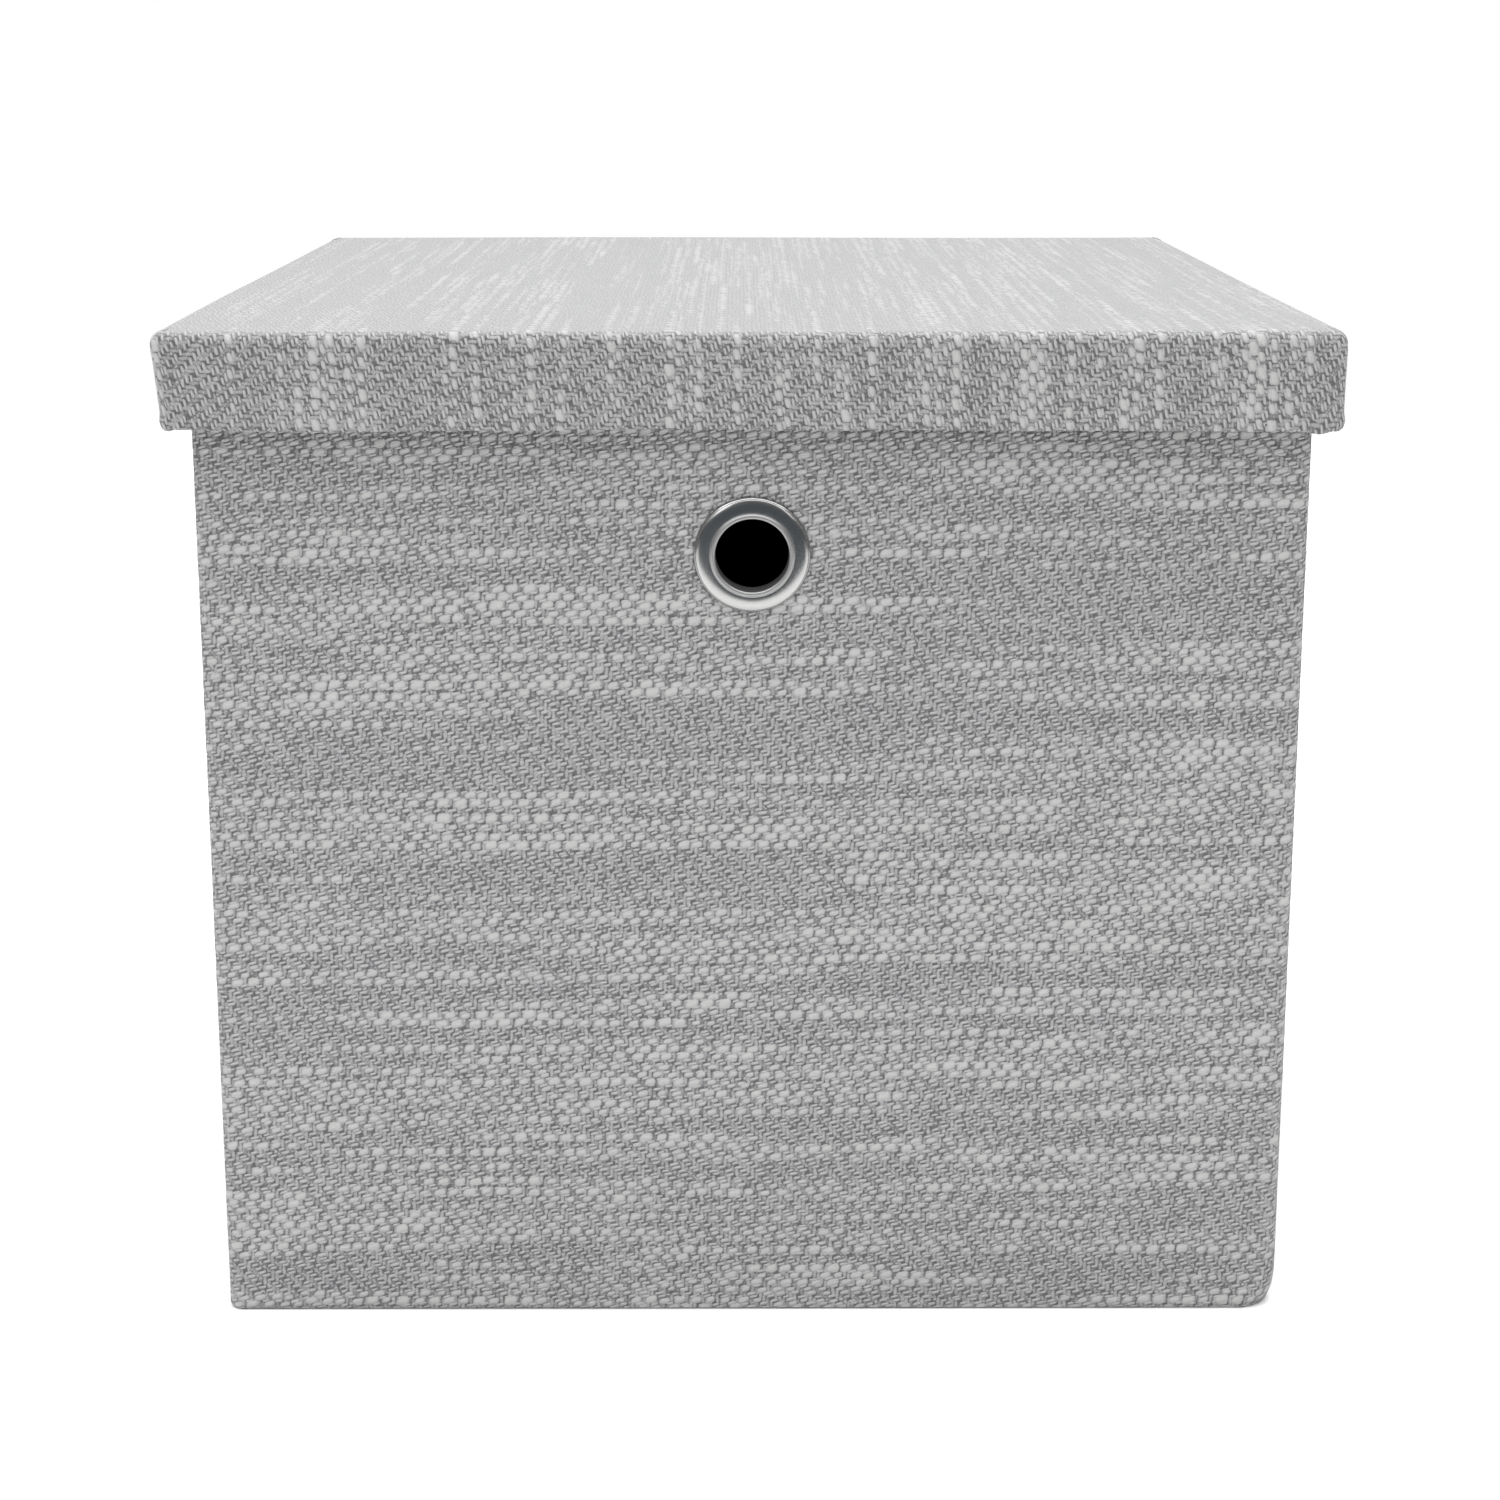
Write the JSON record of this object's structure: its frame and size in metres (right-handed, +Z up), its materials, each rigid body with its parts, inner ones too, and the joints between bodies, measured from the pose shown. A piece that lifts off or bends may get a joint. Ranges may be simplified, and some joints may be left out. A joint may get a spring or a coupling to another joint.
{
  "type": "fabric storage bin",
  "caption": "Square cloth-covered storage bin with stiff board walls, a lift-off lid and a metal eyelet finger hole; it folds flat.",
  "frame": {"origin": "on the floor under the middle of the bin (centre of the underside)", "axes": "+X to the right seen from the front, -Y out of the front wall with the eyelet, +Z up"},
  "size_m": [0.344, 0.34, 0.31],
  "materials": {
    "outer_cloth": "coarse slub weave, light grey",
    "lining": "non-woven, black",
    "ribbon": "woven ribbon, black",
    "greyboard": "plain greyboard, hidden inside the cloth",
    "eyelet_metal": "satin nickel plate on pressed brass"
  },
  "bodies": {
    "front_wall": {"front_board": "greyboard", "front_fabric": "outer_cloth", "front_lining": "lining", "eyelet_face": "eyelet_metal", "eyelet_washer": "eyelet_metal", "base_fabric": "outer_cloth"},
    "left_front": {"left_front_board": "greyboard", "left_front_fabric": "outer_cloth", "left_front_lining": "lining"},
    "left_back": {"left_back_board": "greyboard", "left_back_fabric": "outer_cloth", "left_back_lining": "lining"},
    "back_wall": {"back_board": "greyboard", "back_fabric": "outer_cloth", "back_lining": "lining"},
    "right_front": {"right_front_board": "greyboard", "right_front_fabric": "outer_cloth", "right_front_lining": "lining"},
    "right_back": {"right_back_board": "greyboard", "right_back_fabric": "outer_cloth", "right_back_lining": "lining"},
    "loose_base": {"base_board": "greyboard", "base_cover": "lining", "base_pull_tab": "ribbon"},
    "lid": {"lid_board": "greyboard", "lid_fabric": "outer_cloth", "lid_lining": "lining", "lid_front_strip": "greyboard", "lid_back_strip": "greyboard", "lid_left_strip": "greyboard", "lid_right_strip": "greyboard"}
  },
  "joints": [
    {"name": "side_fold", "type": "hinge", "parent": "front_wall", "child": "left_front", "pos_m": [-0.161, -0.159, 0], "axis": [0, 0, -1], "range_deg": [0, 86]},
    {"name": "left_crease", "type": "hinge", "parent": "left_front", "child": "left_back", "pos_m": [-0.165, 0, 0], "axis": [0, 0, 1], "range_deg": [0, 172]},
    {"name": "left_back_corner", "type": "hinge", "parent": "left_back", "child": "back_wall", "pos_m": [-0.161, 0.159, 0], "axis": [0, 0, -1], "range_deg": [0, 86]},
    {"name": "right_front_corner", "type": "hinge", "parent": "front_wall", "child": "right_front", "pos_m": [0.161, -0.159, 0], "axis": [0, 0, 1], "range_deg": [0, 86]},
    {"name": "right_back_corner", "type": "hinge", "parent": "back_wall", "child": "right_back", "pos_m": [0.161, 0.159, 0], "axis": [0, 0, -1], "range_deg": [0, 86]},
    {"name": "lid_lift", "type": "slide", "parent": "front_wall", "child": "lid", "axis": [0, 0, 1], "range_m": [0, 0.34]},
    {"name": "base_lift", "type": "slide", "parent": "front_wall", "child": "loose_base", "axis": [0, 0, 1], "range_m": [0, 0.34]}
  ],
  "couplings": [
    {"joint": "left_crease", "follows": "side_fold", "ratio": 2},
    {"joint": "left_back_corner", "follows": "side_fold", "ratio": 1},
    {"joint": "right_front_corner", "follows": "side_fold", "ratio": 1},
    {"joint": "right_back_corner", "follows": "side_fold", "ratio": 1},
    {"joint": "base_lift", "follows": "lid_lift", "ratio": 1}
  ]
}
